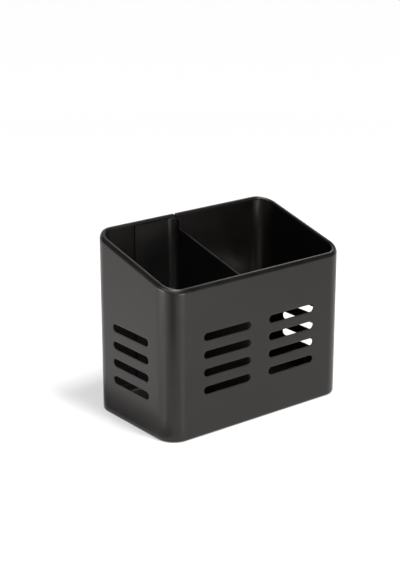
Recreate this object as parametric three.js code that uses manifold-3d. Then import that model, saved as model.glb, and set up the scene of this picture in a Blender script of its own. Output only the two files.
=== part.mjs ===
// Cutlery basket: a sheet steel wrap with a rolled rim, a raised floor pan and a bent divider.
// Millimetres, +Z up. The front faces -Y, and the origin is the middle of the face it stands on.
import * as THREE from 'three';
import { mergeVertices } from 'three/addons/utils/BufferGeometryUtils.js';
import Module from 'manifold-3d';

const wasm = await Module();
wasm.setup();

// Walls
const bodyWidth = 165.6;
const bodyDepth = 93.8;
const frontHeight = 115;
const backHeight = 139.2;
const cornerRadius = 15;
const wallSheet = 0.8;

// Rolled rim: the sheet leans in, turns over a round shoulder into a level top, and rolls down
// inside to a lip that hangs down
const shoulderDepth = 2.1;
const shoulderHeight = 3.4;
const shoulderRadius = 1.3;
const rimTop = 0.9;
const rollRadius = 1.2;
const lipDrop = 2.1;

// Foot of the walls, turned in under the basket
const footRadius = 2;
const footFlange = 8;

// Slots in the front and side walls, with the height of each top row
const slotLength = 43.4;
const slotHeight = 5.8;
const slotPitch = 13.6;
const slotRows = 4;
const frontSlotTop = 75.8;
const sideSlotTop = 71.1;
const frontSlotOffset = 30.3;

// Open joint between the two ends of the rolled rim
const jointCentre = -8.8;
const jointWidth = 2.5;

// Floor pan and its drain holes
const panSheet = 0.8;
const floorLevel = 4.3;
const panRadius = 2;
const panUpstand = 6.5;
const drainDiameter = 6;
const drainPitch = 22.5;
const drainMargin = 12;

// Divider: the face of its web, how far its top edge lies under the rim, its bends and flanges
const dividerSheet = 0.8;
const dividerFace = -8.7;
const dividerDrop = 8.7;
const hemHeight = 6;
const backBendRadius = 6.5;
const backFlange = 30;
const frontBendRadius = 1.5;
const frontFlange = 14;

// Clearance between touching pieces, and how far a cutter passes the sheet that it cuts
const seatGap = 0.3;
const overrun = 2;

// Steps of the curves
const cornerSteps = 10;
const bendSteps = 6;
const slotSteps = 8;
const drainSteps = 12;

const halfShare = 1 / 2;
const quarterTurn = Math.PI / 2;
const halfTurn = Math.PI;

const halfWidth = bodyWidth * halfShare;
const halfDepth = bodyDepth * halfShare;
const rimSlope = (backHeight - frontHeight) / bodyDepth;
const rimDepth = shoulderDepth + rimTop + rollRadius;

// Angle by which the sheet leans in, so that it runs straight into the round shoulder
const shoulderRise = shoulderHeight - shoulderRadius;
const shoulderReach = Math.hypot(shoulderDepth, shoulderRise);
const shoulderLean = Math.acos(shoulderRadius / shoulderReach) - Math.atan2(shoulderRise, shoulderDepth);

// Height of the rim's plane over a place between front and back
function rimHeight(y) {
  return frontHeight + rimSlope * (y + halfDepth);
}

// Arc of a sheet's face: points with the direction that the face looks in, which is away from the
// arc's centre when looks is 1 and towards it when looks is -1
function arc(centre, radius, from, to, looks) {
  const points = [];
  for (let i = 0; i <= bendSteps; i += 1) {
    const angle = from + ((to - from) * i) / bendSteps;
    const away = [Math.cos(angle), Math.sin(angle)];
    points.push({
      at: away.map((value, axis) => centre[axis] + radius * value),
      looking: away.map((value) => looks * value),
    });
  }
  return points;
}

// Closed loop of a bent sheet: along its face, and back along its other face
function sheetLoop(face, sheet) {
  const other = face.map((point) => ({
    ...point,
    at: point.at.map((value, axis) => value - sheet * point.looking[axis]),
  }));
  return [...face, ...other.reverse()];
}

// Solid of a closed geometry
function solidOf(geometry) {
  const bare = geometry.clone();
  bare.deleteAttribute('normal');
  bare.deleteAttribute('uv');
  const merged = mergeVertices(bare);
  const vertProperties = Float32Array.from(merged.attributes.position.array);
  const triVerts = Uint32Array.from(merged.index.array);
  return new wasm.Manifold(new wasm.Mesh({ numProp: 3, vertProperties, triVerts }));
}

// Sub-part from a solid
function subPart(name, solid, material) {
  const mesh = solid.getMesh();
  const geometry = new THREE.BufferGeometry();
  geometry.setAttribute('position', new THREE.Float32BufferAttribute(mesh.vertProperties, 3));
  geometry.setIndex(Array.from(mesh.triVerts));
  const faceted = geometry.toNonIndexed();
  faceted.computeVertexNormals();
  const part = new THREE.Mesh(faceted, material);
  part.name = name;
  return part;
}

// Section swept round the basket. A point lies at[0] in from the outer face of the walls and at[1] up,
// counted from the rim's plane where onRim is set and otherwise from the table. The section closes on
// itself, or, for a plate, runs from the middle of its underside to the middle of its top.
function aroundBasket(section, plate) {
  const positions = [];
  const corners = [[1, -1], [1, 1], [-1, 1], [-1, -1]];
  corners.forEach(([right, back], corner) => {
    const centreX = right * (halfWidth - cornerRadius);
    const centreY = back * (halfDepth - cornerRadius);
    for (let i = 0; i <= cornerSteps; i += 1) {
      const angle = quarterTurn * (corner - 1 + i / cornerSteps);
      const top = rimHeight(centreY + cornerRadius * Math.sin(angle));
      for (const { at: [inset, up], onRim } of section) {
        const reach = cornerRadius - inset;
        const x = centreX + reach * Math.cos(angle);
        const y = centreY + reach * Math.sin(angle);
        positions.push(x, y, onRim ? top + up : up);
      }
    }
  });
  const rows = section.length;
  const columns = corners.length * (cornerSteps + 1);
  const under = columns * rows;
  const over = under + 1;
  if (plate) positions.push(0, 0, section[0].at[1], 0, 0, section[rows - 1].at[1]);
  const triangles = [];
  for (let column = 0; column < columns; column += 1) {
    const here = column * rows;
    const next = ((column + 1) % columns) * rows;
    for (let row = 0; row < rows - 1; row += 1) {
      triangles.push(here + row, next + row, next + row + 1);
      triangles.push(here + row, next + row + 1, here + row + 1);
    }
    const last = rows - 1;
    if (plate) {
      triangles.push(next, here, under);
      triangles.push(here + last, next + last, over);
    } else {
      triangles.push(here + last, next + last, next);
      triangles.push(here + last, next, here);
    }
  }
  const geometry = new THREE.BufferGeometry();
  geometry.setAttribute('position', new THREE.Float32BufferAttribute(positions, 3));
  geometry.setIndex(triangles);
  return solidOf(geometry);
}

// Straight solid between two heights over an outline
function prism(shape, low, high, curveSegments) {
  const depth = high - low;
  const geometry = new THREE.ExtrudeGeometry(shape, { depth, bevelEnabled: false, curveSegments });
  geometry.translate(0, 0, low);
  return geometry;
}

// Box between two corners
function box(low, high) {
  const size = high.map((value, axis) => value - low[axis]);
  const geometry = new THREE.BoxGeometry(...size);
  geometry.translate(...low.map((value, axis) => value + size[axis] * halfShare));
  return solidOf(geometry);
}

// Outline of a slot with round ends
function slotShape() {
  const radius = slotHeight * halfShare;
  const reach = slotLength * halfShare - radius;
  const shape = new THREE.Shape();
  shape.absarc(reach, 0, radius, -quarterTurn, quarterTurn, false);
  shape.absarc(-reach, 0, radius, quarterTurn, quarterTurn + halfTurn, false);
  shape.closePath();
  return shape;
}

// Cutter of one slot through the middle of a wall's sheet, turned for a side wall
function slotCutter(x, y, z, sideWall) {
  const reach = wallSheet * halfShare + overrun;
  const cutter = prism(slotShape(), -reach, reach, slotSteps);
  cutter.rotateX(quarterTurn);
  if (sideWall) cutter.rotateZ(quarterTurn);
  cutter.translate(x, y, z);
  return solidOf(cutter);
}

// Outer face of the walls, from the tip of the foot flange to the end of the lip
function wallFace() {
  const foot = [
    { at: [footFlange, 0], looking: [0, -1] },
    ...arc([footRadius, footRadius], footRadius, -quarterTurn, -halfTurn, 1),
  ];
  const shoulder = [shoulderDepth, -shoulderRadius];
  const halfLean = shoulderLean * halfShare;
  const rim = [
    { at: [0, -shoulderHeight], looking: [-Math.cos(halfLean), Math.sin(halfLean)] },
    ...arc(shoulder, shoulderRadius, halfTurn - shoulderLean, quarterTurn, 1),
    ...arc([shoulderDepth + rimTop, -rollRadius], rollRadius, quarterTurn, 0, 1),
    { at: [rimDepth, -lipDrop], looking: [1, 0] },
  ];
  return [...foot, ...rim.map((point) => ({ ...point, onRim: true }))];
}

function makeWrap(material) {
  let wrap = aroundBasket(sheetLoop(wallFace(), wallSheet), false);
  const sheetMiddle = wallSheet * halfShare;
  for (let row = 0; row < slotRows; row += 1) {
    const frontZ = frontSlotTop - row * slotPitch;
    const sideZ = sideSlotTop - row * slotPitch;
    for (const side of [-1, 1]) {
      const sideX = side * (halfWidth - sheetMiddle);
      wrap = wrap.subtract(slotCutter(side * frontSlotOffset, sheetMiddle - halfDepth, frontZ, false));
      wrap = wrap.subtract(slotCutter(sideX, 0, sideZ, true));
    }
  }
  const jointSide = jointWidth * halfShare;
  const joint = box(
    [jointCentre - jointSide, halfDepth - rimDepth - overrun, backHeight - shoulderHeight],
    [jointCentre + jointSide, halfDepth + overrun, backHeight + overrun],
  );
  return subPart('wrap', wrap.subtract(joint), material);
}

// Floor pan: its upstand stands inside the walls
const panInset = wallSheet + seatGap;
const panOuterRadius = panRadius + panSheet;
const panBottom = floorLevel - panSheet;
const upstandTop = floorLevel + panUpstand;
const panInside = panInset + panSheet;

// Places in a row of holes, evenly spaced and centred between two walls
function drainPlaces(from, to) {
  const gaps = Math.floor((to - from - 2 * drainMargin) / drainPitch);
  const first = (from + to - gaps * drainPitch) * halfShare;
  return Array.from({ length: gaps + 1 }, (_, i) => first + i * drainPitch);
}

function makeFloorPan(material) {
  const centre = [panInset + panOuterRadius, panBottom + panOuterRadius];
  const face = [
    ...arc(centre, panOuterRadius, -quarterTurn, -halfTurn, 1),
    { at: [panInset, upstandTop], looking: [-1, 0] },
  ];
  let pan = aroundBasket(sheetLoop(face, panSheet), true);
  const wallX = halfWidth - panInside;
  const wallY = halfDepth - panInside;
  const columns = [
    ...drainPlaces(-wallX, dividerFace),
    ...drainPlaces(dividerFace + dividerSheet, wallX),
  ];
  const radius = drainDiameter * halfShare;
  for (const x of columns) {
    for (const y of drainPlaces(-wallY, wallY)) {
      const hole = new THREE.Shape();
      hole.absarc(x, y, radius, 0, 2 * halfTurn, false);
      pan = pan.subtract(solidOf(prism(hole, panBottom - overrun, floorLevel + overrun, drainSteps)));
    }
  }
  return subPart('floor_pan', pan, material);
}

// Divider: its flanges lie on the walls, its back bend reaches up to the rim's lip, and its web ends
// lower, in a folded edge
const flangeBack = halfDepth - wallSheet - seatGap;
const flangeFace = flangeBack - dividerSheet;
const bendEnd = flangeFace - backBendRadius;
const webStart = dividerSheet + frontBendRadius - flangeBack;
const dividerBottom = floorLevel + seatGap;
const earTop = backHeight - shoulderHeight;

// Outline of the divider seen from above
function dividerShape() {
  const backCentre = [dividerFace - backBendRadius, bendEnd];
  const frontOuterRadius = frontBendRadius + dividerSheet;
  const frontCentre = [dividerFace + frontOuterRadius, webStart];
  const face = [
    { at: [backCentre[0] - backFlange, flangeFace], looking: [0, -1] },
    ...arc(backCentre, backBendRadius, quarterTurn, 0, -1),
    ...arc(frontCentre, frontOuterRadius, halfTurn, halfTurn + quarterTurn, 1),
    { at: [dividerFace + frontFlange, -flangeBack], looking: [0, -1] },
  ];
  return new THREE.Shape(sheetLoop(face, dividerSheet).map(({ at: [x, y] }) => new THREE.Vector2(x, y)));
}

// Space over the web's top edge, which follows the rim
function webCutter() {
  const front = -halfDepth - overrun;
  const top = backHeight + overrun;
  const side = new THREE.Shape([
    new THREE.Vector2(front, rimHeight(front) - dividerDrop - dividerSheet),
    new THREE.Vector2(bendEnd, rimHeight(bendEnd) - dividerDrop - dividerSheet),
    new THREE.Vector2(bendEnd, top),
    new THREE.Vector2(front, top),
  ]);
  const cutter = prism(side, dividerFace - overrun, dividerFace + frontFlange + overrun, 1);
  cutter.rotateZ(quarterTurn);
  cutter.rotateY(quarterTurn);
  return solidOf(cutter);
}

// Folded top edge of the web: twice the sheet thick, with a round top, climbing with the rim
function makeHem() {
  const radius = dividerSheet;
  const section = new THREE.Shape();
  section.moveTo(radius, -hemHeight);
  section.absarc(0, -radius, radius, 0, halfTurn, false);
  section.lineTo(-radius, -hemHeight);
  section.closePath();
  const hem = prism(section, -bendEnd, -webStart, slotSteps);
  hem.rotateX(quarterTurn);
  hem.applyMatrix4(new THREE.Matrix4().makeShear(0, 0, 0, rimSlope, 0, 0));
  hem.translate(dividerFace + radius, 0, rimHeight(0) - dividerDrop);
  return solidOf(hem);
}

function makeDivider(material) {
  let divider = solidOf(prism(dividerShape(), dividerBottom, earTop, slotSteps));
  divider = divider.subtract(webCutter()).add(makeHem());
  const clearY = halfDepth - panInside - panRadius;
  const clearZ = upstandTop + seatGap;
  for (const side of [-1, 1]) {
    const low = Math.min(side * clearY, side * (halfDepth + overrun));
    const high = Math.max(side * clearY, side * (halfDepth + overrun));
    const notch = box([-halfWidth, low, dividerBottom - overrun], [halfWidth, high, clearZ]);
    divider = divider.subtract(notch);
  }
  return subPart('divider', divider, material);
}

// Satin black powder coat
function coat() {
  return new THREE.MeshStandardMaterial({ color: 0x2a2929, roughness: 0.45, metalness: 0 });
}

const basket = new THREE.Group();
basket.add(makeWrap(coat()), makeFloorPan(coat()), makeDivider(coat()));

export default basket;
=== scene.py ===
# %% [markdown]
# # A divided basket in powder-coated sheet steel
# The real basket is three pieces of thin steel sheet: a wrap that makes the four walls and is
# rolled over at the rim, a floor pan that sits a little above the table, and a divider that is
# welded to the back wall. They are sprayed together with one satin black powder coat.
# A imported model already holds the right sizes, so this lesson only replaces its facets by smooth
# sheets with rounded edges, and gives the coat, the light and the camera.
# The model is loaded first, because every piece here is placed by its numbers.

# %% The frame and the tools
import math

import bpy
import numpy as np
from mathutils import Matrix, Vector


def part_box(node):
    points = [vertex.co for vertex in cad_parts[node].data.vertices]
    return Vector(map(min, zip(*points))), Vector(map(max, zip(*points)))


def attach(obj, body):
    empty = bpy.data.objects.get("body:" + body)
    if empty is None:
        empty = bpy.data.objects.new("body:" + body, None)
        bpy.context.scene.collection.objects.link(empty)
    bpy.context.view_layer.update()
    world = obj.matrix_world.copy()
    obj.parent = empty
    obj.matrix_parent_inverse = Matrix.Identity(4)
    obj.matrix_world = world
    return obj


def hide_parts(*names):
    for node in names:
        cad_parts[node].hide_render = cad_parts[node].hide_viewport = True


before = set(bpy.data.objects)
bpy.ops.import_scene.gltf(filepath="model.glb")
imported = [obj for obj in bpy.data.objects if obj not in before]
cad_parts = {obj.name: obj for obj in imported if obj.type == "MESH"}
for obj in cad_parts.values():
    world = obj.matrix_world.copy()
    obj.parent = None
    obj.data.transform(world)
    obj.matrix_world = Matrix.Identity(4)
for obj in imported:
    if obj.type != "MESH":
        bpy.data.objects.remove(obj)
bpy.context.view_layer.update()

# %% [markdown]
# ## Sizes
# Sheet-metal work is drawn in millimetres and Blender counts in metres, so the sizes stay in
# millimetres here and are scaled once, where a mesh is made. The outer box is read from the model.
# The other sizes repeat those that the model was drawn with.

# %% Sizes in millimetres
MM = 0.001
_, wrap_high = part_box("wrap")
HALF_WIDTH, HALF_DEPTH, BACK_HEIGHT = np.array(wrap_high) / MM
FRONT_HEIGHT = 115.0
CORNER_RADIUS = 15.0
SHEET = 0.8
SEAT_GAP = 0.3  # room for coat and weld between two sheets that are joined
RIM_SLOPE = (BACK_HEIGHT - FRONT_HEIGHT) / (2 * HALF_DEPTH)
STRAIGHT = np.array([HALF_WIDTH, HALF_DEPTH]) - CORNER_RADIUS


def rim_height(y):
    """Height of the rim: a straight slope from the front wall up to the back wall."""
    return FRONT_HEIGHT + RIM_SLOPE * (y + HALF_DEPTH)


print("outer size:", 2 * HALF_WIDTH, 2 * HALF_DEPTH, BACK_HEIGHT)

# %% [markdown]
# ## How a sheet is built
# A pressed sheet is one surface with a thickness. Boxes with cut holes would leave sharp, faceted
# edges, so here only the face of the sheet is worked out, as a grid of points. Solidify then gives
# it the thickness of the steel, and Bevel rounds the cut edges as the coat does on the real one.
# A slot is a rectangle of cells that is left out of the grid and filled again by rings of points,
# which close in from the rectangle to the round-ended slot.

# %% Faces of a grid
RIGHTWARD, BACKWARD, UPWARD = np.eye(3)


def numbered(grid, first=0):
    """Point numbers of a grid, row by row, counted on from the first one."""
    return first + np.arange(grid.shape[0] * grid.shape[1]).reshape(grid.shape[:2])


def grid_faces(numbers):
    """Corners of every cell of a grid of point numbers: right, then up, then back to the left."""
    corners = (numbers[:-1, :-1], numbers[:-1, 1:], numbers[1:, 1:], numbers[1:, :-1])
    return np.stack(corners, axis=-1)


def closed(numbers):
    """A grid whose last column joins its first one again."""
    return np.column_stack([numbers, numbers[:, 0]])


def cell_loop(numbers, bottom, top, left, right):
    """Point numbers round a rectangle of grid cells, counterclockwise from its lower left."""
    return np.concatenate(
        [
            numbers[bottom, left:right],
            numbers[bottom:top, right],
            numbers[top, right:left:-1],
            numbers[top:bottom:-1, left],
        ]
    )


print("directions:", RIGHTWARD, BACKWARD, UPWARD)


# %% Lines and arcs
def arc(centre, radius, start, end, steps):
    """Points of an arc: the centre plus the radius times the cosine and sine of even angles."""
    angle = np.radians(np.linspace(start, end, steps + 1))
    return np.column_stack(
        [centre[0] + radius * np.cos(angle), centre[1] + radius * np.sin(angle)]
    )


def lines(*blocks):
    """Places of grid lines: blocks of (from, to, steps), each evenly spaced, which may touch."""
    places = np.concatenate([np.linspace(a, b, steps + 1) for a, b, steps in blocks])
    return np.unique(places.round(6))


def nearest(places, value):
    """Number of the grid line that lies nearest to a value."""
    return int(np.abs(places - value).argmin())


print("a quarter circle in three steps:", arc((0, 0), 1, 0, 90, 3).round(3).tolist())


# %% Rings round a hole
def hole_rings(points, loop, first, centre, along, up, half_line, radius, rings):
    """Points and faces between a loop of grid points and a slot in its middle.

    Each loop point looks for the nearest place on the slot's middle line. On the way there, a
    ring stops at the slot's radius, plus its distance, plus its share of what is left to the loop.
    Its dent is a depth behind the sheet's face.
    """
    inward = np.cross(up, along)
    share, distance, dent = np.array(rings).T[:, :, None]
    offset = points[loop] - centre
    middle = centre + np.clip(offset @ along, -half_line, half_line)[:, None] * along
    away = points[loop] - middle
    length = np.linalg.norm(away, axis=1)
    stop = radius + distance + share * (length - radius - distance)
    ring = middle + (away / length[:, None]) * stop[..., None] + inward * dent[..., None]
    cells = grid_faces(closed(np.vstack([loop, numbered(stop, first)])))
    return ring.reshape(-1, 3), cells.reshape(-1, 4)


# %% A sheet as a Blender object
EDGE_RADIUS, EDGE_STEPS, EDGE_ANGLE = 0.25, 3, math.radians(55)
FLAT_WEIGHT = 80  # 50 is neutral, and more lets the large faces decide the shading


def sheet_piece(name, points, faces):
    """Object of a sheet: its face as a mesh, the steel behind it, and rounded cut edges."""
    used, numbers = np.unique(faces, return_inverse=True)
    mesh = bpy.data.meshes.new(name)
    mesh.from_pydata(points[used] * MM, [], numbers.reshape(-1, 4).tolist())
    mesh.validate()
    mesh.shade_smooth()
    piece = bpy.data.objects.new(name, mesh)
    bpy.context.scene.collection.objects.link(piece)
    steel = piece.modifiers.new("Steel", "SOLIDIFY")
    steel.thickness = SHEET * MM
    steel.offset = -1
    steel.use_even_offset = True
    edges = piece.modifiers.new("Rounded edges", "BEVEL")
    edges.width = EDGE_RADIUS * MM
    edges.segments = EDGE_STEPS
    edges.limit_method = "ANGLE"
    edges.angle_limit = EDGE_ANGLE
    shading = piece.modifiers.new("Flat faces stay flat", "WEIGHTED_NORMAL")
    shading.mode = "FACE_AREA"
    shading.weight = FLAT_WEIGHT
    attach(piece, "root")
    print(name, "face:", len(used), "points,", len(numbers) // 4, "cells")
    return piece


# %% [markdown]
# ## The wrap
# The walls are one strip of sheet, bent round four corners. Near its top the sheet leans in over
# a soft shoulder, runs level for about a millimetre and rolls down on the inside, so that no cut
# edge can be touched. This rim climbs from the front to the back. The foot is turned in under the
# basket. The two ends of the strip meet in the back wall, and the rim stays open there by a small
# notch.
# A cut-out outline could be extruded, but a section carried round an outline makes rim, wall and
# foot in one go: a row of the grid is a line round the basket, a column is the section.

# %% Lines round the walls
FRONT, RIGHT, BACK, LEFT = range(4)
SLOT_LENGTH = 43.4
SLOT_OFFSET = 30.3  # from the middle of the front wall to the middle of a slot
SLOT_MARGIN, CELL_COLUMNS = 3.0, 40
JOINT_CENTRE, JOINT_HALF, JOINT_ZONE = 8.8, 1.25, 4.0  # along the back wall, from right to left

HALF_CELL = SLOT_LENGTH / 2 + SLOT_MARGIN
inner_end, outer_end = SLOT_OFFSET - HALF_CELL, SLOT_OFFSET + HALF_CELL
front_lines = lines(
    (-STRAIGHT[0], -outer_end, 4),
    (-outer_end, -inner_end, CELL_COLUMNS),
    (-inner_end, inner_end, 4),
    (inner_end, outer_end, CELL_COLUMNS),
    (outer_end, STRAIGHT[0], 4),
)
side_lines = lines(
    (-STRAIGHT[1], -HALF_CELL, 2),
    (-HALF_CELL, HALF_CELL, CELL_COLUMNS),
    (HALF_CELL, STRAIGHT[1], 2),
)
back_lines = lines(
    (-STRAIGHT[0], JOINT_CENTRE - JOINT_ZONE, 24),
    (JOINT_CENTRE - JOINT_ZONE, JOINT_CENTRE - JOINT_HALF, 4),
    (JOINT_CENTRE - JOINT_HALF, JOINT_CENTRE + JOINT_HALF, 8),
    (JOINT_CENTRE + JOINT_HALF, JOINT_CENTRE + JOINT_ZONE, 4),
    (JOINT_CENTRE + JOINT_ZONE, STRAIGHT[0], 20),
)
wall_lines = [front_lines, side_lines, back_lines, side_lines]
print("lines on the four walls:", [len(wall) for wall in wall_lines])

# %% The way round the basket
CORNER_STEPS = 18


def walk_round(wall_lines):
    """Places round the walls with their outward directions, counterclockwise from above.

    A wall's place is its own line along the wall plus the wall's distance from the middle. The
    quarter circle after it turns the outward direction by even angles about the corner's centre.
    """
    at, out, starts = [], [], []
    for turn, along in enumerate(wall_lines):
        starts.append(sum(map(len, at)))
        half, face = (HALF_WIDTH, HALF_DEPTH)[:: (1, -1)[turn % 2]]
        angle = math.radians(90 * turn)
        tangent = np.array([math.cos(angle), math.sin(angle)])
        normal = np.array([math.sin(angle), -math.cos(angle)])
        at.append(along[:, None] * tangent + face * normal)
        out.append(np.tile(normal, (len(along), 1)))
        bend = angle + np.radians(np.linspace(0, 90, CORNER_STEPS + 1)[1:-1])
        bend_out = np.column_stack([np.sin(bend), -np.cos(bend)])
        centre = (half - CORNER_RADIUS) * tangent + (face - CORNER_RADIUS) * normal
        at.append(centre + CORNER_RADIUS * bend_out)
        out.append(bend_out)
    return np.vstack(at), np.vstack(out), starts


wall_at, wall_out, wall_start = walk_round(wall_lines)
print("columns round the basket:", len(wall_at))

# %% The shoulder of the rim
SHOULDER_DEPTH, SHOULDER_HEIGHT, SHOULDER_STEPS = 2.1, 3.4, 20
LEAN_SHARES, LEAN_DEGREES = (0, 0.28, 0.66, 1), (0, 21, 27, 90)

# The shoulder is walked in even steps, each at its lean from upright. The lean grows quickly,
# hardly at all in the middle, which gives the rim its dark band, and turns level at the top.
lean = np.radians(np.interp(np.linspace(0, 1, SHOULDER_STEPS + 1), LEAN_SHARES, LEAN_DEGREES))
step_lean = (lean[1:] + lean[:-1]) / 2
steps = np.column_stack([np.sin(step_lean), np.cos(step_lean)])
shoulder = np.vstack([[0, 0], np.cumsum(steps, axis=0)])
shoulder = shoulder / shoulder[-1] * (SHOULDER_DEPTH, SHOULDER_HEIGHT) - (0, SHOULDER_HEIGHT)
print("shoulder from", shoulder[0], "to", shoulder[-1])

# %% Rows of the section
RIM_TOP, ROLL_RADIUS, LIP_DROP = 0.9, 1.2, 2.1
FOOT_RADIUS, FOOT_FLANGE = 2.0, 8.0
SLOT_PITCH, SLOT_ROWS, CELL_ROWS = 13.6, 4, 12
STACK_HEIGHT = SLOT_ROWS * SLOT_PITCH


def rows(inset, height, stack=0.0, rim=0.0):
    """Rows of the section: inset from the outer face, and a height in three shares.

    The height over the table is height, plus stack times the foot of the slots' area, plus rim
    times the height of the rim, both of which depend on the place round the basket.
    """
    return np.column_stack(np.broadcast_arrays(inset, height, stack, rim))


flange = np.linspace(FOOT_FLANGE, FOOT_RADIUS, 4)[:-1]
foot = arc((FOOT_RADIUS, FOOT_RADIUS), FOOT_RADIUS, -90, -180, 6)
low = np.linspace(0, 1, 8)[1:-1]
high = np.linspace(0, 1, 10)[1:-1]
roll = arc((SHOULDER_DEPTH + RIM_TOP, -ROLL_RADIUS), ROLL_RADIUS, 90, 0, 6)
lip = -ROLL_RADIUS - np.array([0.5, 1.0]) * (LIP_DROP - ROLL_RADIUS)
section = np.vstack(
    [
        rows(flange, 0.0),
        rows(foot[:, 0], foot[:, 1]),
        rows(0.0, FOOT_RADIUS * (1 - low), stack=low),
        rows(0.0, np.linspace(0, STACK_HEIGHT, SLOT_ROWS * CELL_ROWS + 1), stack=1.0),
        rows(0.0, STACK_HEIGHT * (1 - high) - SHOULDER_HEIGHT * high, stack=1 - high, rim=high),
        rows(shoulder[:, 0], shoulder[:, 1], rim=1.0),
        rows(roll[:, 0], roll[:, 1], rim=1.0),
        rows(SHOULDER_DEPTH + RIM_TOP + ROLL_RADIUS, lip, rim=1.0),
    ]
)
first_stack_row = len(flange) + len(foot) + len(low)
first_rim_row = first_stack_row + SLOT_ROWS * CELL_ROWS + 1 + len(high)
print("rows of the section:", len(section))

# %% The wrap's grid
FRONT_SLOT_TOP, SIDE_SLOT_TOP = 75.8, 71.1  # middle of the top row of slots over the table
SEAM_HALF, SEAM_DEPTH = 0.45, 0.14
LOOKS_BACK = 0.999  # least share of an outward direction that points straight back

inset, height, stack, rim = section.T[:, :, None]
front_foot, side_foot = (
    top + SLOT_PITCH / 2 - STACK_HEIGHT for top in (FRONT_SLOT_TOP, SIDE_SLOT_TOP)
)
stack_foot = side_foot + (front_foot - side_foot) * np.clip(-wall_out[:, 1], 0, 1)
z = height + stack * stack_foot + rim * rim_height(wall_at[:, 1])

# The two ends of the strip meet in a shallow seam down the back wall
on_back = (wall_out[:, 1] > LOOKS_BACK)[None, :]
from_seam = np.abs(wall_at[:, 0] + JOINT_CENTRE)[None, :]
seam = SEAM_DEPTH * np.clip(1 - from_seam / SEAM_HALF, 0, 1) * on_back
depth = inset + np.where(np.arange(len(section))[:, None] < first_rim_row, seam, 0)
plan = wall_at[None] - depth[..., None] * wall_out[None]
wrap_grid = np.dstack([plan, z])
wrap_points = wrap_grid.reshape(-1, 3)
wrap_numbers = numbered(wrap_grid)
print("wrap's grid:", wrap_numbers.shape, "highest point:", wrap_points[:, 2].max())

# %% [markdown]
# ## The slots
# The slots are punched from outside before the sheet is bent. A punch drags the face of the sheet
# down a little before it cuts, so the wall dips by a tenth of a millimetre towards each slot. That
# dip catches the light as a soft line over and under a slot.
# A boolean would cut the slot, but it could not dip the sheet. The rings do both.

# %% Slots in the grid
SLOT_HEIGHT, DIP, DIP_DEPTH = 5.8, 1.6, 0.12
dip_share = np.array([1.0, 0.72, 0.45, 0.24, 0.0])
slot_rings = [(2 / 3, DIP, 0.0), (1 / 3, DIP, 0.0)]
slot_rings += [(0.0, DIP * share, DIP_DEPTH * (1 - share) ** 2) for share in dip_share]
slot_end = SLOT_HEIGHT / 2
slot_places = [(FRONT, -SLOT_OFFSET), (FRONT, SLOT_OFFSET), (RIGHT, 0.0), (LEFT, 0.0)]

wrap_cells = np.ones((len(section) - 1, len(wall_at)), bool)
wrap_parts, wrap_faces = [wrap_points], []
count = len(wrap_points)
for wall, place in slot_places:
    left, right = (
        wall_start[wall] + nearest(wall_lines[wall], place + side * HALF_CELL) for side in (-1, 1)
    )
    for row in range(SLOT_ROWS):
        bottom = first_stack_row + row * CELL_ROWS
        top = bottom + CELL_ROWS
        wrap_cells[bottom:top, left:right] = False
        loop = cell_loop(wrap_numbers, bottom, top, left, right)
        corners = wrap_grid[[bottom, bottom, top], [left, right, left]]
        along = (corners[1] - corners[0]) / np.linalg.norm(corners[1] - corners[0])
        made, cells = hole_rings(
            wrap_points,
            loop,
            count,
            (corners[1] + corners[2]) / 2,
            along,
            UPWARD,
            SLOT_LENGTH / 2 - slot_end,
            slot_end,
            slot_rings,
        )
        wrap_parts.append(made)
        wrap_faces.append(cells)
        count += len(made)
print("slots:", len(wrap_faces))

# %% The open joint in the rim, and the wrap itself
joint_left, joint_right = (
    wall_start[BACK] + nearest(back_lines, JOINT_CENTRE + side * JOINT_HALF) for side in (-1, 1)
)
wrap_cells[first_rim_row:, joint_left:joint_right] = False
wrap_faces.append(grid_faces(closed(wrap_numbers))[wrap_cells])
wrap_shell = sheet_piece("wrap_shell", np.vstack(wrap_parts), np.vstack(wrap_faces))
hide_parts("wrap")

# %% [markdown]
# ## The floor pan
# The floor is a shallow pressed pan: a flat plate with round corners, an edge turned up all round,
# and holes to let water out. Only its inside is ever seen.
# The plate is a square grid. Its corners are rounded by moving grid points, so that the grid stays
# made of squares and the holes can be set anywhere in it, with the same rings as the slots.

# %% Places of the drain holes
PAN_RADIUS = 2.0
DRAIN_PITCH, DRAIN_MARGIN, DRAIN_CELL = 22.5, 12.0, 5.0
DIVIDER_FACE = -8.7
pan_wall = np.array([HALF_WIDTH, HALF_DEPTH]) - SHEET - SEAT_GAP - SHEET
pan_flat = pan_wall - PAN_RADIUS


def drain_places(start, end):
    """A row of holes, evenly spaced and centred between two walls."""
    gaps = math.floor((end - start - 2 * DRAIN_MARGIN) / DRAIN_PITCH)
    return (start + end - gaps * DRAIN_PITCH) / 2 + DRAIN_PITCH * np.arange(gaps + 1)


def drain_lines(places, edge):
    """Grid lines: ten steps over each hole's cell and three between two cells."""
    cells = np.add.outer(places, [-DRAIN_CELL, DRAIN_CELL]).ravel()
    ends = np.concatenate([[-edge], cells, [edge]])
    steps = [3 if gap % 2 == 0 else 10 for gap in range(len(ends) - 1)]
    return lines(*zip(ends[:-1], ends[1:], steps))


left_drains = drain_places(-pan_wall[0], DIVIDER_FACE)
right_drains = drain_places(DIVIDER_FACE + SHEET, pan_wall[0])
drain_x = np.concatenate([left_drains, right_drains])
drain_y = drain_places(-pan_wall[1], pan_wall[1])
pan_x, pan_y = drain_lines(drain_x, pan_flat[0]), drain_lines(drain_y, pan_flat[1])
print("drain holes:", len(drain_x) * len(drain_y))

# %% The floor pan's grid
FLOOR = 4.3
flat_corner = pan_flat - STRAIGHT


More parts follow.
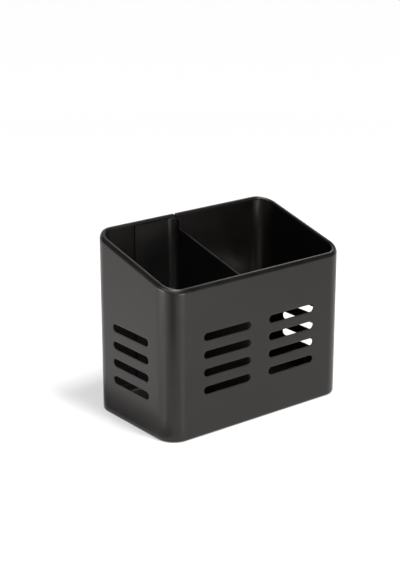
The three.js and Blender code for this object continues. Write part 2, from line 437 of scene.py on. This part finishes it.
def round_corners(at):
    """Square corner zones drawn to quarter discs: u becomes u times the root of 1 - v * v / 2."""
    share = np.maximum(np.abs(at) - STRAIGHT, 0) / flat_corner
    drawn = share * np.sqrt(1 - share[..., ::-1] ** 2 / 2)
    return np.sign(at) * (np.minimum(np.abs(at), STRAIGHT) + drawn * flat_corner)


pan_at = round_corners(np.stack(np.meshgrid(pan_x, pan_y), axis=-1))
pan_grid = np.dstack([pan_at, np.full(pan_at.shape[:2], FLOOR)])
pan_points = pan_grid.reshape(-1, 3)
pan_numbers = numbered(pan_grid)
print("floor pan's grid:", pan_numbers.shape)

# %% Drain holes in the grid
DRAIN_RADIUS, DRAIN_DIP, DRAIN_DEPTH = 3.0, 0.9, 0.25
drain_share = np.array([1.0, 0.7, 0.4, 0.0])
drain_rings = [(0.5, DRAIN_DIP, 0.0)]
drain_rings += [(0.0, DRAIN_DIP * share, DRAIN_DEPTH * (1 - share) ** 2) for share in drain_share]
pan_cells = np.ones((len(pan_y) - 1, len(pan_x) - 1), bool)
pan_parts, pan_faces = [pan_points], []
count = len(pan_points)
for x in drain_x:
    for y in drain_y:
        left, right = nearest(pan_x, x - DRAIN_CELL), nearest(pan_x, x + DRAIN_CELL)
        bottom, top = nearest(pan_y, y - DRAIN_CELL), nearest(pan_y, y + DRAIN_CELL)
        pan_cells[bottom:top, left:right] = False
        made, cells = hole_rings(
            pan_points,
            cell_loop(pan_numbers, bottom, top, left, right),
            count,
            np.array([x, y, FLOOR]),
            RIGHTWARD,
            BACKWARD,
            0.0,
            DRAIN_RADIUS,
            drain_rings,
        )
        pan_parts.append(made)
        pan_faces.append(cells)
        count += len(made)
print("points of plate and holes:", count)

# %% The edge turned up, and the floor pan itself
UPSTAND, UPSTAND_SHARES = 6.5, (0.6, 0.8, 1.0)
plate_loop = cell_loop(pan_numbers, 0, len(pan_y) - 1, 0, len(pan_x) - 1)
plate_edge = pan_points[plate_loop, :2]
pan_out = plate_edge - np.clip(plate_edge, -STRAIGHT, STRAIGHT)
pan_out /= np.linalg.norm(pan_out, axis=1)[:, None]
turn_up = np.vstack(
    [
        arc((0.0, PAN_RADIUS), PAN_RADIUS, -90, 0, 6)[1:],
        [(PAN_RADIUS, share * UPSTAND) for share in UPSTAND_SHARES],
    ]
)
edge_plan = plate_edge[None] + turn_up[:, 0, None, None] * pan_out[None]
edge_z = np.broadcast_to(FLOOR + turn_up[:, 1, None], edge_plan.shape[:2])
edge_numbers = closed(np.vstack([plate_loop, numbered(edge_plan, count)]))
pan_parts.append(np.dstack([edge_plan, edge_z]).reshape(-1, 3))
pan_faces.append(grid_faces(edge_numbers).reshape(-1, 4)[:, ::-1])
pan_faces.append(grid_faces(pan_numbers)[pan_cells])
pan_shell = sheet_piece("pan_shell", np.vstack(pan_parts), np.vstack(pan_faces))
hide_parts("floor_pan")

# %% [markdown]
# ## The divider
# The divider is a sheet bent twice. A flange lies on the back wall and reaches up under the rolled
# rim, a wide bend turns it into the web that parts the basket, and a small flange at the front lies
# on the front wall. The web ends lower than the rim, in an edge that is folded over, so that it is
# blunt. Small round dents in the back flange are the marks of the spot welds.
# Seen from above it is one line, so the grid is that line carried upwards. The ear under the rim
# and the fold on the web are two more grids, which start from the first one's top row.

# %% The divider's line, seen from above
BACK_BEND, BACK_FLANGE, FRONT_BEND, FRONT_FLANGE = 6.5, 30.0, 2.3, 14.0
WELD_X, FINE = -19.0, 2.0  # a weld mark, and half of the finer part of the grid round it
FLANGE_BACK = HALF_DEPTH - SHEET - SEAT_GAP
FLANGE_FACE = FLANGE_BACK - SHEET
BEND_END = FLANGE_FACE - BACK_BEND
WEB_START = FRONT_BEND - FLANGE_BACK

bend_centre = (DIVIDER_FACE - BACK_BEND, BEND_END)
flange_x = lines(
    (bend_centre[0] - BACK_FLANGE, WELD_X - FINE, 10),
    (WELD_X - FINE, WELD_X + FINE, 12),
    (WELD_X + FINE, bend_centre[0], 2),
)
front_x = np.linspace(DIVIDER_FACE + FRONT_BEND, DIVIDER_FACE + FRONT_FLANGE, 9)[1:]
web_y = np.linspace(BEND_END, WEB_START, 30)[1:]
back_bend = arc(bend_centre, BACK_BEND, 90, 0, 14)[1:]
front_bend = arc((DIVIDER_FACE + FRONT_BEND, WEB_START), FRONT_BEND, 180, 270, 8)[1:]
divider_at = np.vstack(
    [
        np.column_stack([flange_x, np.full(len(flange_x), FLANGE_FACE)]),
        back_bend,
        np.column_stack([np.full(len(web_y), DIVIDER_FACE), web_y]),
        front_bend,
        np.column_stack([front_x, np.full(len(front_x), -FLANGE_BACK)]),
    ]
)
last_ear = len(flange_x) + len(back_bend) - 1
last_web = last_ear + len(web_y)
print("points of the divider's line:", len(divider_at))

# %% Its height, from the floor to the web's top edge
HEM_RADIUS, WEB_DROP, EAR_DROP = 0.85, 8.7, SHOULDER_HEIGHT
WELD_HEIGHTS = (30.0, 70.0, 111.0)
NOTCH_RUN = 1.0
CLEAR_FLOOR, CLEAR_UPSTAND = FLOOR + SEAT_GAP, FLOOR + UPSTAND + SEAT_GAP

# The foot steps up over the pan's upstand near the front and the back wall
notch = np.clip((np.abs(divider_at[:, 1]) - pan_flat[1]) / NOTCH_RUN + 1, 0, 1)
divider_foot = CLEAR_FLOOR + (CLEAR_UPSTAND - CLEAR_FLOOR) * notch
web_top = rim_height(np.minimum(divider_at[:, 1], BEND_END)) - WEB_DROP - HEM_RADIUS
ear_foot, ear_top = web_top[last_ear], BACK_HEIGHT - EAR_DROP

weld_rows = np.add.outer(WELD_HEIGHTS, [-FINE, FINE]).ravel() - CLEAR_UPSTAND
marks = np.concatenate([[0], weld_rows, [ear_foot - CLEAR_UPSTAND]])
levels = lines(*zip(marks[:-1], marks[1:], [8, 12] * len(WELD_HEIGHTS) + [8])) / marks[-1]
body_z = divider_foot + levels[:, None] * (web_top - divider_foot)
body_plan = np.broadcast_to(divider_at, (len(levels), *divider_at.shape))
body_grid = np.dstack([body_plan, body_z])
print("divider's grid:", body_z.shape, "ear from", ear_foot, "to", ear_top)

# %% Weld marks in the back flange
WELD_RADIUS, WELD_DEPTH = 1.3, 0.16

# Each mark is a bowl that fades with the square of the distance from its middle
dents = np.zeros(body_z.shape)
for weld_height in WELD_HEIGHTS:
    away = np.hypot(body_grid[..., 0] - WELD_X, body_z - weld_height) / WELD_RADIUS
    dents += WELD_DEPTH * np.clip(1 - away**2, 0, 1)
body_grid[..., 1] += dents * (body_grid[..., 1] > BEND_END)
print("deepest dent:", dents.max())

# %% The ear under the rim, and the fold on the web
HEM_HEIGHT = 6.0
ear_at = divider_at[: last_ear + 1]
ear_z = np.linspace(ear_foot, ear_top, 8)[1:]
ear_grid = np.dstack(
    [
        np.broadcast_to(ear_at, (len(ear_z), *ear_at.shape)),
        np.broadcast_to(ear_z[:, None], (len(ear_z), len(ear_at))),
    ]
)
flap = np.linspace(0, HEM_RADIUS - HEM_HEIGHT, 4)[1:]
fold = np.vstack(
    [
        arc((HEM_RADIUS, 0.0), HEM_RADIUS, 180, 0, 10)[1:],
        np.column_stack([np.full(len(flap), 2 * HEM_RADIUS), flap]),
    ]
)
hem_at, hem_top = divider_at[last_ear : last_web + 1], web_top[last_ear : last_web + 1]
hem_grid = np.dstack(
    [
        hem_at[None, :, 0] + fold[:, 0, None],
        np.broadcast_to(hem_at[:, 1], (len(fold), len(hem_at))),
        hem_top[None, :] + fold[:, 1, None],
    ]
)
print("ear and fold:", ear_grid.shape[:2], hem_grid.shape[:2])

# %% The divider itself
body_numbers = numbered(body_grid)
ear_numbers = numbered(ear_grid, body_numbers.size)
hem_numbers = numbered(hem_grid, body_numbers.size + ear_numbers.size)
top_row = body_numbers[-1]
divider_faces = [
    grid_faces(body_numbers).reshape(-1, 4),
    grid_faces(np.vstack([top_row[: last_ear + 1], ear_numbers])).reshape(-1, 4),
    grid_faces(np.vstack([top_row[last_ear : last_web + 1], hem_numbers])).reshape(-1, 4),
]
divider_points = np.vstack([grid.reshape(-1, 3) for grid in (body_grid, ear_grid, hem_grid)])
divider_sheet = sheet_piece("divider_sheet", divider_points, np.vstack(divider_faces))
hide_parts("divider")

# %% [markdown]
# ## The finish
# Powder coat is plastic powder that is sprayed on dry and melted in an oven. It is a dielectric, so
# it has no metallic part, with a black that keeps a little light and a satin gloss, and what it
# mirrors turns very slightly warm. It flows together with a very faint orange peel, about a
# millimetre and a half from crest to crest, and a fine grain. Both are bump, because they are
# thinner than a hair. A fingertip feels them, and the eye sees a soft, even sheen.
# The colour and the roughness drift a little over centimetres, as on any sprayed sheet.


# %% Nodes
def linear(colour):
    """Scene-linear colour of an sRGB hex value: small shares over 12.92, the others a power."""
    share = np.array([colour >> 16, colour >> 8 & 255, colour & 255]) / 255
    value = np.where(share <= 0.04045, share / 12.92, ((share + 0.055) / 1.055) ** 2.4)
    return (*value.tolist(), 1.0)


def add_node(tree, kind, inputs=None, **settings):
    """Adds a node with its settings. An input gets a value, or a link if a socket is given."""
    made = tree.nodes.new(kind)
    for name, value in settings.items():
        setattr(made, name, value)
    for name, value in (inputs or {}).items():
        if isinstance(value, bpy.types.NodeSocket):
            tree.links.new(value, made.inputs[name])
        else:
            made.inputs[name].default_value = value
    return made


def new_material(name):
    """An empty node material with its tree."""
    material = bpy.data.materials.new(name)
    material.use_nodes = True
    material.node_tree.nodes.clear()
    return material, material.node_tree


print("middle grey is", linear(0x808080)[0], "of white")

# %% The powder coat
# Such plastic has an index of refraction of about 1.5, and 1.44 matches the greys of the real coat
COAT_IOR, COAT_TINT = 1.44, 0xFFF8F4
PEEL_MM, PEEL_DEPTH = 1.6, 0.015
# The real grain is about a tenth of a millimetre wide, and is drawn this coarse so that it shows
GRAIN_MM, GRAIN_DEPTH = 0.45, 0.009
DRIFT_MM, GLOSS_DRIFT = 20.0, 0.035
NOISE_LOW, NOISE_HIGH = 0.3, 0.7  # between these lie nearly all values of a noise


def powder_coat(name, shift, dark, light, roughness):
    """Satin black powder coat. Shift moves the patterns, so that no two pieces share them."""
    material, tree = new_material(name)
    place = add_node(tree, "ShaderNodeTexCoord")
    moved = add_node(
        tree,
        "ShaderNodeMapping",
        {"Vector": place.outputs["Object"], "Location": (shift, shift / 2, shift / 3)},
    )
    drift, peel, grain = (
        add_node(
            tree,
            "ShaderNodeTexNoise",
            {"Vector": moved.outputs["Vector"], "Scale": 1 / (size * MM), "Detail": detail},
        ).outputs["Fac"]
        for size, detail in ((DRIFT_MM, 3), (PEEL_MM, 1), (GRAIN_MM, 2))
    )
    tone = add_node(
        tree, "ShaderNodeMix", {0: drift, 6: linear(dark), 7: linear(light)}, data_type="RGBA"
    )
    satin = add_node(
        tree,
        "ShaderNodeMapRange",
        {
            "Value": drift,
            "From Min": NOISE_LOW,
            "From Max": NOISE_HIGH,
            "To Min": roughness - GLOSS_DRIFT,
            "To Max": roughness + GLOSS_DRIFT,
        },
    )
    orange_peel = add_node(
        tree, "ShaderNodeBump", {"Height": peel, "Strength": 1.0, "Distance": PEEL_DEPTH * MM}
    )
    fine_grain = add_node(
        tree,
        "ShaderNodeBump",
        {
            "Height": grain,
            "Strength": 1.0,
            "Distance": GRAIN_DEPTH * MM,
            "Normal": orange_peel.outputs["Normal"],
        },
    )
    coat = add_node(
        tree,
        "ShaderNodeBsdfPrincipled",
        {
            "Base Color": tone.outputs[2],
            "Roughness": satin.outputs["Result"],
            "IOR": COAT_IOR,
            "Specular Tint": linear(COAT_TINT),
            "Normal": fine_grain.outputs["Normal"],
        },
    )
    add_node(tree, "ShaderNodeOutputMaterial", {"Surface": coat.outputs["BSDF"]})
    return material


# %% The coat on each piece
# Shift in metres, the two colours between which the coat drifts, and the roughness
coats = {
    wrap_shell: powder_coat("satin_black_powder_coat_wrap", 0.013, 0x070606, 0x12100F, 0.31),
    pan_shell: powder_coat("satin_black_powder_coat_pan", 0.029, 0x080808, 0x0F0E0E, 0.36),
    # The divider's colours are darker than the wrap's: painted shade for the inside of the basket.
    divider_sheet: powder_coat("satin_black_powder_coat_divider_painted_shade", 0.041, 0x070707, 0x0E0D0D, 0.37),
}
for piece, coat in coats.items():
    piece.data.materials.append(coat)
    print(piece.name, "is coated with", coat.name)

# %% [markdown]
# ## The floor and the room
# A black coat shows mostly what it mirrors, so the room matters more here than the lamps. The
# basket stands on a round sheet of glossy white board that curves up all round. The board gives
# the walls their grey. The room above it is dim, which keeps the inside and the shoulder of the
# rim dark. A curved white backdrop behind the basket draws the bright line along the level top of
# the rim.
# More lamplight could make the board white too, but it would wash out the coat. So part of the
# white comes from the kind of ray, the same for the camera and for what the coat mirrors. The other
# part is lamplight, so that the basket still throws a shadow on the board.
# The studio is large, so its sizes are in metres.


# %% Helpers for the studio
def direction(turn, lift):
    """Unit vector to a place, turned from the basket's front towards its left, and lifted."""
    turn, lift = np.radians(turn), np.radians(lift)
    level = np.cos(lift)
    return np.stack([-np.sin(turn) * level, -np.cos(turn) * level, np.sin(lift) + 0 * turn], -1)


def studio_piece(name, points, faces, material):
    """A mesh in metres that belongs to the studio and not to the basket."""
    mesh = bpy.data.meshes.new(name)
    mesh.from_pydata(points, [], faces)
    mesh.materials.append(material)
    piece = bpy.data.objects.new(name, mesh)
    bpy.context.scene.collection.objects.link(piece)
    print(name, "has", len(faces), "faces")
    return piece


def seen_or_mirrored(tree):
    """1 for camera, glossy and transmission rays, 0 for the others."""
    path = add_node(tree, "ShaderNodeLightPath")
    either = add_node(
        tree,
        "ShaderNodeMath",
        {0: path.outputs["Is Camera Ray"], 1: path.outputs["Is Glossy Ray"]},
        operation="MAXIMUM",
    )
    return add_node(
        tree,
        "ShaderNodeMath",
        {0: either.outputs[0], 1: path.outputs["Is Transmission Ray"]},
        operation="MAXIMUM",
    ).outputs[0]


print("a quarter turn leads to the left:", direction(90, 0).round(3))

# %% The dim room
ROOM_LIGHT = 0.03
WHITE = linear(0xFFFFFF)
world = bpy.data.worlds.new("dim_room")
world.use_nodes = True
bpy.context.scene.world = world
sky = world.node_tree
sky.nodes.clear()
glow = add_node(sky, "ShaderNodeBackground", {"Color": WHITE, "Strength": ROOM_LIGHT})
add_node(sky, "ShaderNodeOutputWorld", {"Surface": glow.outputs["Background"]})
print("light of the room:", ROOM_LIGHT)

# %% The board's paint
# The board shines near the basket and is matt far away, where its gloss would only show the lamps.
# The share of its own white grows with the distance, and fades again where the board curves up.
BOARD_WHITE, BOARD_GLOSS, GLOSS_END, MATT_START = 0xECECEC, 0.17, 1.2, 3.0
GLOW_NEAR, GLOW_FAR, NEAR_END, FAR_START = 0.35, 0.98, 0.2, 1.1
GLOW_TOP, TOP_START = 0.1, 0.4

board_paint, tree = new_material("glossy_white_board")
middle = add_node(tree, "ShaderNodeTexCoord").outputs["Object"]
away = add_node(tree, "ShaderNodeVectorMath", {0: middle}, operation="LENGTH").outputs["Value"]
up = add_node(tree, "ShaderNodeSeparateXYZ", {"Vector": middle}).outputs["Z"]
matter, further, higher = (
    add_node(
        tree,
        "ShaderNodeMapRange",
        {"Value": value, "From Min": start, "From Max": end, "To Min": first, "To Max": last},
    ).outputs["Result"]
    for value, start, end, first, last in (
        (away, GLOSS_END, MATT_START, BOARD_GLOSS, 1.0),
        (away, NEAR_END, FAR_START, GLOW_NEAR, GLOW_FAR),
        (up, 0.0, TOP_START, 1.0, GLOW_TOP),
    )
)
paint = add_node(
    tree, "ShaderNodeBsdfPrincipled", {"Base Color": linear(BOARD_WHITE), "Roughness": matter}
)
seen = seen_or_mirrored(tree)
white = add_node(tree, "ShaderNodeEmission", {"Color": WHITE, "Strength": seen})
faded = add_node(tree, "ShaderNodeMath", {0: further, 1: higher}, operation="MULTIPLY")
share = add_node(tree, "ShaderNodeMath", {0: seen, 1: faded.outputs[0]}, operation="MULTIPLY")
lifted = add_node(
    tree,
    "ShaderNodeMixShader",
    {0: share.outputs[0], 1: paint.outputs["BSDF"], 2: white.outputs["Emission"]},
)
add_node(tree, "ShaderNodeOutputMaterial", {"Surface": lifted.outputs["Shader"]})
print("nodes of the board's paint:", len(tree.nodes))

# %% The white board
BOARD_RINGS, BOARD_RADIUS, SWEEP_RADIUS, BOARD_TOP = (0.4, 1.0, 2.5), 5.0, 0.8, 1.5
flat_rings = [(radius, 0) for radius in BOARD_RINGS]
sweep = arc((BOARD_RADIUS, SWEEP_RADIUS), SWEEP_RADIUS, -90, 0, 9)
board_section = np.vstack([flat_rings, sweep, [(sweep[-1, 0], BOARD_TOP)]])
board_round = direction(-np.arange(0, 360, 5), 0)[:, :2]
board_grid = np.dstack(
    [
        board_section[:, :1, None] * board_round[None],
        np.broadcast_to(board_section[:, 1:], (len(board_section), len(board_round))),
    ]
)
board_numbers = numbered(board_grid)
board_cells = grid_faces(closed(board_numbers[::-1])).reshape(-1, 4)
board_faces = board_cells.tolist() + [board_numbers[0].tolist()]
board = studio_piece("white_board", board_grid.reshape(-1, 3), board_faces, board_paint)

# %% The white backdrop behind the basket
# It is plain white in the middle and clear at its two ends, so that its edges don't show.
CAMERA_TURN = 38.8172
BACKDROP_RADIUS, BACKDROP_TOP = 4.6, 1.75
BACKDROP_HALF, BACKDROP_STEPS = 64, 24  # half of its angle, and the steps across the whole
CLEAR_COSINE, WHITE_COSINE = 0.45, 0.75  # of the angle from the backdrop's middle

backdrop_paper, tree = new_material("white_backdrop_paper")
sideways = add_node(
    tree,
    "ShaderNodeVectorMath",
    {
        0: add_node(tree, "ShaderNodeTexCoord").outputs["Object"],
        1: tuple(direction(CAMERA_TURN + 180, 0)),
    },
    operation="DOT_PRODUCT",
)
soft_ends = add_node(
    tree,
    "ShaderNodeMapRange",
    {
        "Value": sideways.outputs["Value"],
        "From Min": CLEAR_COSINE * BACKDROP_RADIUS,
        "From Max": WHITE_COSINE * BACKDROP_RADIUS,
    },
    interpolation_type="SMOOTHSTEP",
)
paper_white = add_node(
    tree, "ShaderNodeEmission", {"Color": WHITE, "Strength": seen_or_mirrored(tree)}
)
paper = add_node(
    tree,
    "ShaderNodeMixShader",
    {
        0: soft_ends.outputs["Result"],
        1: add_node(tree, "ShaderNodeBsdfTransparent").outputs["BSDF"],
        2: paper_white.outputs["Emission"],
    },
)
add_node(tree, "ShaderNodeOutputMaterial", {"Surface": paper.outputs["Shader"]})

from_middle = np.linspace(-BACKDROP_HALF, BACKDROP_HALF, BACKDROP_STEPS + 1)
backdrop_low = BACKDROP_RADIUS * direction(CAMERA_TURN + 180 + from_middle, 0)
backdrop_grid = np.stack([backdrop_low, backdrop_low + BACKDROP_TOP * UPWARD])
backdrop_points = backdrop_grid.reshape(-1, 3)
backdrop_faces = grid_faces(numbered(backdrop_grid)[::-1]).reshape(-1, 4).tolist()
backdrop = studio_piece("white_backdrop", backdrop_points, backdrop_faces, backdrop_paper)

# %% [markdown]
# ## Cards on the board, painted into the coat's reflections
# A rounded corner of a glossy black box mirrors the whole half of the room before it. In the middle
# of the near corner stands a dark upright stripe, and the foot of the left wall darkens towards the
# table, where it mirrors the basket's own shadow on the board. Both darks are painted in with
# cards.
# A black card in front of the near corner is a painted dark reflection, and a grey one beside the
# left wall is a painted shadow. As with the lamps, the camera doesn't see them, only the coat does.


# %% Cards
def matt_card(name, colour, roughness=0.9):
    """Matt card of one colour."""
    material, tree = new_material(name)
    inputs = {"Base Color": linear(colour), "Roughness": roughness}
    matt = add_node(tree, "ShaderNodeBsdfPrincipled", inputs)
    add_node(tree, "ShaderNodeOutputMaterial", {"Surface": matt.outputs["BSDF"]})
    return material


def card(name, material, start, turn, near, far, width):
    """A card just over the board, from near to far ahead of a start, in metres."""
    ahead = direction(turn, 0)
    aside = np.cross(UPWARD, ahead) * width / 2
    corners = ((near, -1), (far, -1), (far, 1), (near, 1))
    points = [start + along * ahead + side * aside for along, side in corners]
    piece = studio_piece(name, points, [[0, 1, 2, 3]], material)
    # Only glossy rays see a card, so it is painted into what the coat mirrors, and it lights and
    # shades nothing.
    piece.visible_camera = piece.visible_shadow = piece.visible_diffuse = False


# %% The two cards
CARD_LIFT, FOOT_CARD_Y = 2.0, 19.0  # in millimetres, as for the basket
# The black card paints a dark reflection: it draws the dark upright stripe into the near corner.
dark_reflection_paint = matt_card("matt_painted_dark_reflection_card", 0x101010)
# The grey card paints a shadow: it stands for the basket's own shadow on the board beside the left
# wall, as the coat mirrors it.
shadow_paint = matt_card("matt_painted_shadow_card", 0xA4A4A4)
near_corner = np.array([*-STRAIGHT, CARD_LIFT]) * MM
left_wall = np.array([-HALF_WIDTH, FOOT_CARD_Y, CARD_LIFT]) * MM

# Start, turn in degrees, and near end, far end and width in metres
card("near_corner_painted_reflection_card", dark_reflection_paint, near_corner, 41, 0.2, 0.55, 0.15)
card("left_foot_painted_shadow_card", shadow_paint, left_wall, 90, 0.002, 0.024, 0.142)

# %% [markdown]
# ## The lamps
# One large soft box over the basket gives nearly all the light. The others are weak, and each draws
# something in the coat. Three low boxes stand round the near corner, one in front and two on the
# left, and draw the light stripes on both sides of its dark one. The front one also draws the
# stripe in the far inner corner. A wide box on the camera's side lightens the inside a little and
# makes the bright spot on the rim in the near corner. Behind the basket, one box lightens the rim
# at the left, and a small one on the right adds a fine highlight to the whole rim.
# The shielded one lights only the board, to keep the shadow beside the left wall light.

# %% Soft boxes
AIM_HEIGHT = 0.07
board_only = bpy.data.collections.new("board_only")
board_only.objects.link(board)


def facing(back, position, roll=0.0):
    """Matrix of a lamp or camera: its Z points back, its X stays level, and roll turns it."""
    right = np.array([-back[1], back[0], 0.0])
    right /= np.linalg.norm(right)
    up = np.cross(back, right)
    across = right * math.cos(roll) + up * math.sin(roll)
    above = up * math.cos(roll) - right * math.sin(roll)
    turned = [[*row, at] for row, at in zip(zip(across, above, back), position)]
    return Matrix(turned + [[0, 0, 0, 1]])


def soft_box(name, turn, lift, distance, width, height, power, shielded=False):
    """An area lamp that looks at the basket. The camera sees only what it lights.

    A shielded lamp lights the board alone, and the coat mirrors it only by way of the board.
    """
    lamp = bpy.data.lights.new(name, "AREA")
    lamp.shape = "RECTANGLE"
    lamp.size, lamp.size_y = width, height
    lamp.energy = power
    stand = bpy.data.objects.new(name, lamp)
    back = direction(turn, lift)
    stand.matrix_world = facing(back, AIM_HEIGHT * UPWARD + distance * back)
    stand.visible_camera = False
    if shielded:
        stand.light_linking.receiver_collection = board_only
    bpy.context.scene.collection.objects.link(stand)
    print(name, "gives", power, "W from", stand.matrix_world.translation)


# %% The eight lamps
# Turn and lift in degrees, distance, width and height in metres, and power in watts
soft_box("overhead_soft_box", -15, 68, 2.6, 0.65, 0.9, 94)
soft_box("front_strip_box", -1, 5, 0.4, 0.15, 0.1, 0.5)
soft_box("left_strip_box", 86, 4, 0.43, 0.136, 0.12, 0.52)
soft_box("left_back_strip_box", 106, 1.5, 0.6, 0.16, 0.16, 0.5)
soft_box("camera_side_soft_box", 47, 36, 1.5, 2.1, 0.5, 10)
soft_box("back_left_floor_fill", 140, 40, 1.0, 0.5, 0.4, 3.2, shielded=True)
soft_box("back_soft_box", 190, 41, 2.0, 1.7, 0.45, 5)
soft_box("back_right_fill", -130, 30, 0.8, 0.3, 0.3, 0.4)

# %% [markdown]
# ## The camera
# The photograph looks down on the left front corner from about a metre away. The camera's place and
# aim were worked out from the basket's own corners, with its lens in the middle of the picture.

# %% Camera
CAMERA_LIFT, CAMERA_DISTANCE, LOOK_HEIGHT = 20.3887, 1.11158, 0.0575
AIM_TURN, AIM_LIFT, ROLL_DEGREES = -0.8275, -1.6801, -0.0686
LENS_MM, SENSOR_MM = 92.88, 36

camera_data = bpy.data.cameras.new("camera")
camera_data.lens, camera_data.sensor_width = LENS_MM, SENSOR_MM
camera = bpy.data.objects.new("camera", camera_data)
place = LOOK_HEIGHT * UPWARD + CAMERA_DISTANCE * direction(CAMERA_TURN, CAMERA_LIFT)
aim = direction(CAMERA_TURN + AIM_TURN, CAMERA_LIFT + AIM_LIFT)
camera.matrix_world = facing(aim, place, math.radians(ROLL_DEGREES))
bpy.context.scene.collection.objects.link(camera)
bpy.context.scene.camera = camera
bpy.context.scene.view_settings.view_transform = "Standard"
print("camera at", place)
